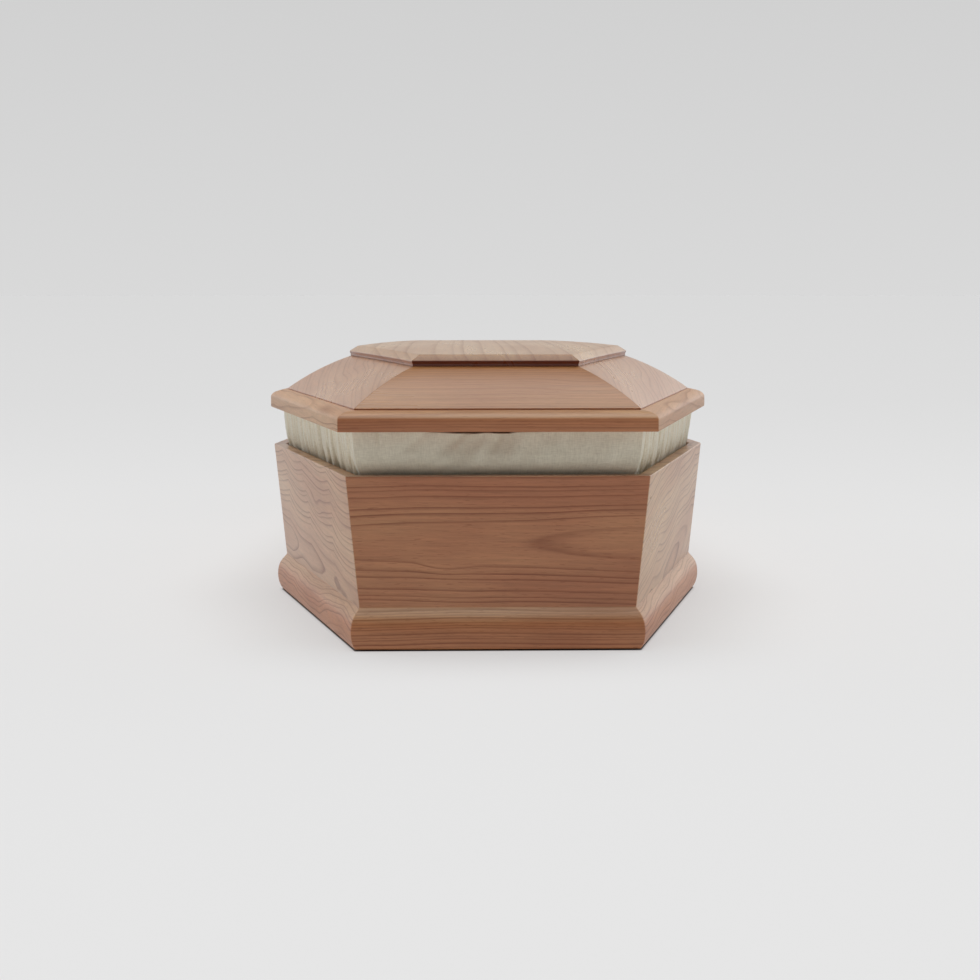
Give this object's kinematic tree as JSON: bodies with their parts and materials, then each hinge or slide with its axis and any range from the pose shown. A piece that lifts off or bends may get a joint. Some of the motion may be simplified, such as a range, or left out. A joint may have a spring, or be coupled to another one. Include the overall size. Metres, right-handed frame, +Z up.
{
  "type": "wooden coffin",
  "caption": "Shouldered hexagonal wooden coffin with round-nosed base and lid mouldings, a raised lid panel and a pleated cloth lining that holds the lid up.",
  "frame": {"origin": "middle of the underside, on the floor the coffin stands on", "axes": "+Z up, +Y from the head end to the foot end, +X to the right as seen from the head end"},
  "size_m": [0.6694, 2.0218, 0.3787],
  "materials": {
    "box_wood": "satin, straight to cathedral grain",
    "moulding_wood": "satin, straight grain",
    "lid_wood": "satin, straight to cathedral grain",
    "lining_cloth": "matt plain weave"
  },
  "bodies": {
    "root": {"head_board": "box_wood", "shoulder_board_right": "box_wood", "long_board_right": "box_wood", "foot_board": "box_wood", "long_board_left": "box_wood", "shoulder_board_left": "box_wood", "bottom_board": "box_wood", "plinth_head": "moulding_wood", "plinth_shoulder_right": "moulding_wood", "plinth_long_right": "moulding_wood", "plinth_foot": "moulding_wood", "plinth_long_left": "moulding_wood", "plinth_shoulder_left": "moulding_wood", "lid_rim_head": "moulding_wood", "lid_rim_shoulder_right": "moulding_wood", "lid_rim_long_right": "moulding_wood", "lid_rim_foot": "moulding_wood", "lid_rim_long_left": "moulding_wood", "lid_rim_shoulder_left": "moulding_wood", "lid_slope_head": "lid_wood", "lid_slope_shoulder_right": "lid_wood", "lid_slope_long_right": "lid_wood", "lid_slope_foot": "lid_wood", "lid_slope_long_left": "lid_wood", "lid_slope_shoulder_left": "lid_wood", "lid_top_panel": "lid_wood", "lining_head": "lining_cloth", "lining_shoulder_right": "lining_cloth", "lining_long_right": "lining_cloth", "lining_foot": "lining_cloth", "lining_long_left": "lining_cloth", "lining_shoulder_left": "lining_cloth", "lining_base": "lining_cloth"}
  },
  "joints": []
}
